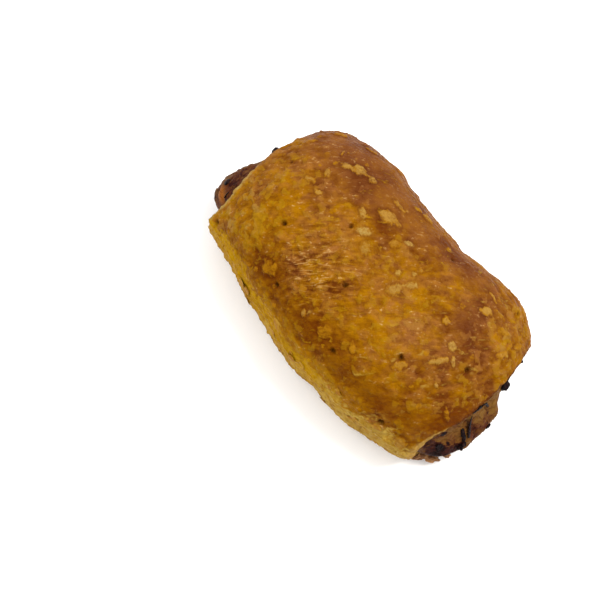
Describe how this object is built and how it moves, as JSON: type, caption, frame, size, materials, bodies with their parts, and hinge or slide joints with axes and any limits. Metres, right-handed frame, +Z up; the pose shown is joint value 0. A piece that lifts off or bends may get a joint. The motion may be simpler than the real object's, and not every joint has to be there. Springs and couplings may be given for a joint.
{
  "type": "sausage roll",
  "caption": "Baked sausage roll: a puff pastry sleeve with pricked, blistered skin, open at both ends, round a meat filling with charred onion strips.",
  "frame": {"origin": "centre of the bounding box in plan, on the plane the roll rests on", "axes": "+X along the roll towards the end where more filling shows, +Y towards the flank that dips in at its middle, +Z up out of the crust"},
  "size_m": [0.137, 0.0794, 0.0427],
  "materials": {
    "pastry": "golden-brown baked puff pastry, egg-washed, satin, with paler blisters and flaky flanks",
    "filling": "browned sausage meat, slightly greasy, with black charred strips"
  },
  "bodies": {
    "root": {"pastry": "pastry", "filling": "filling"}
  },
  "joints": []
}
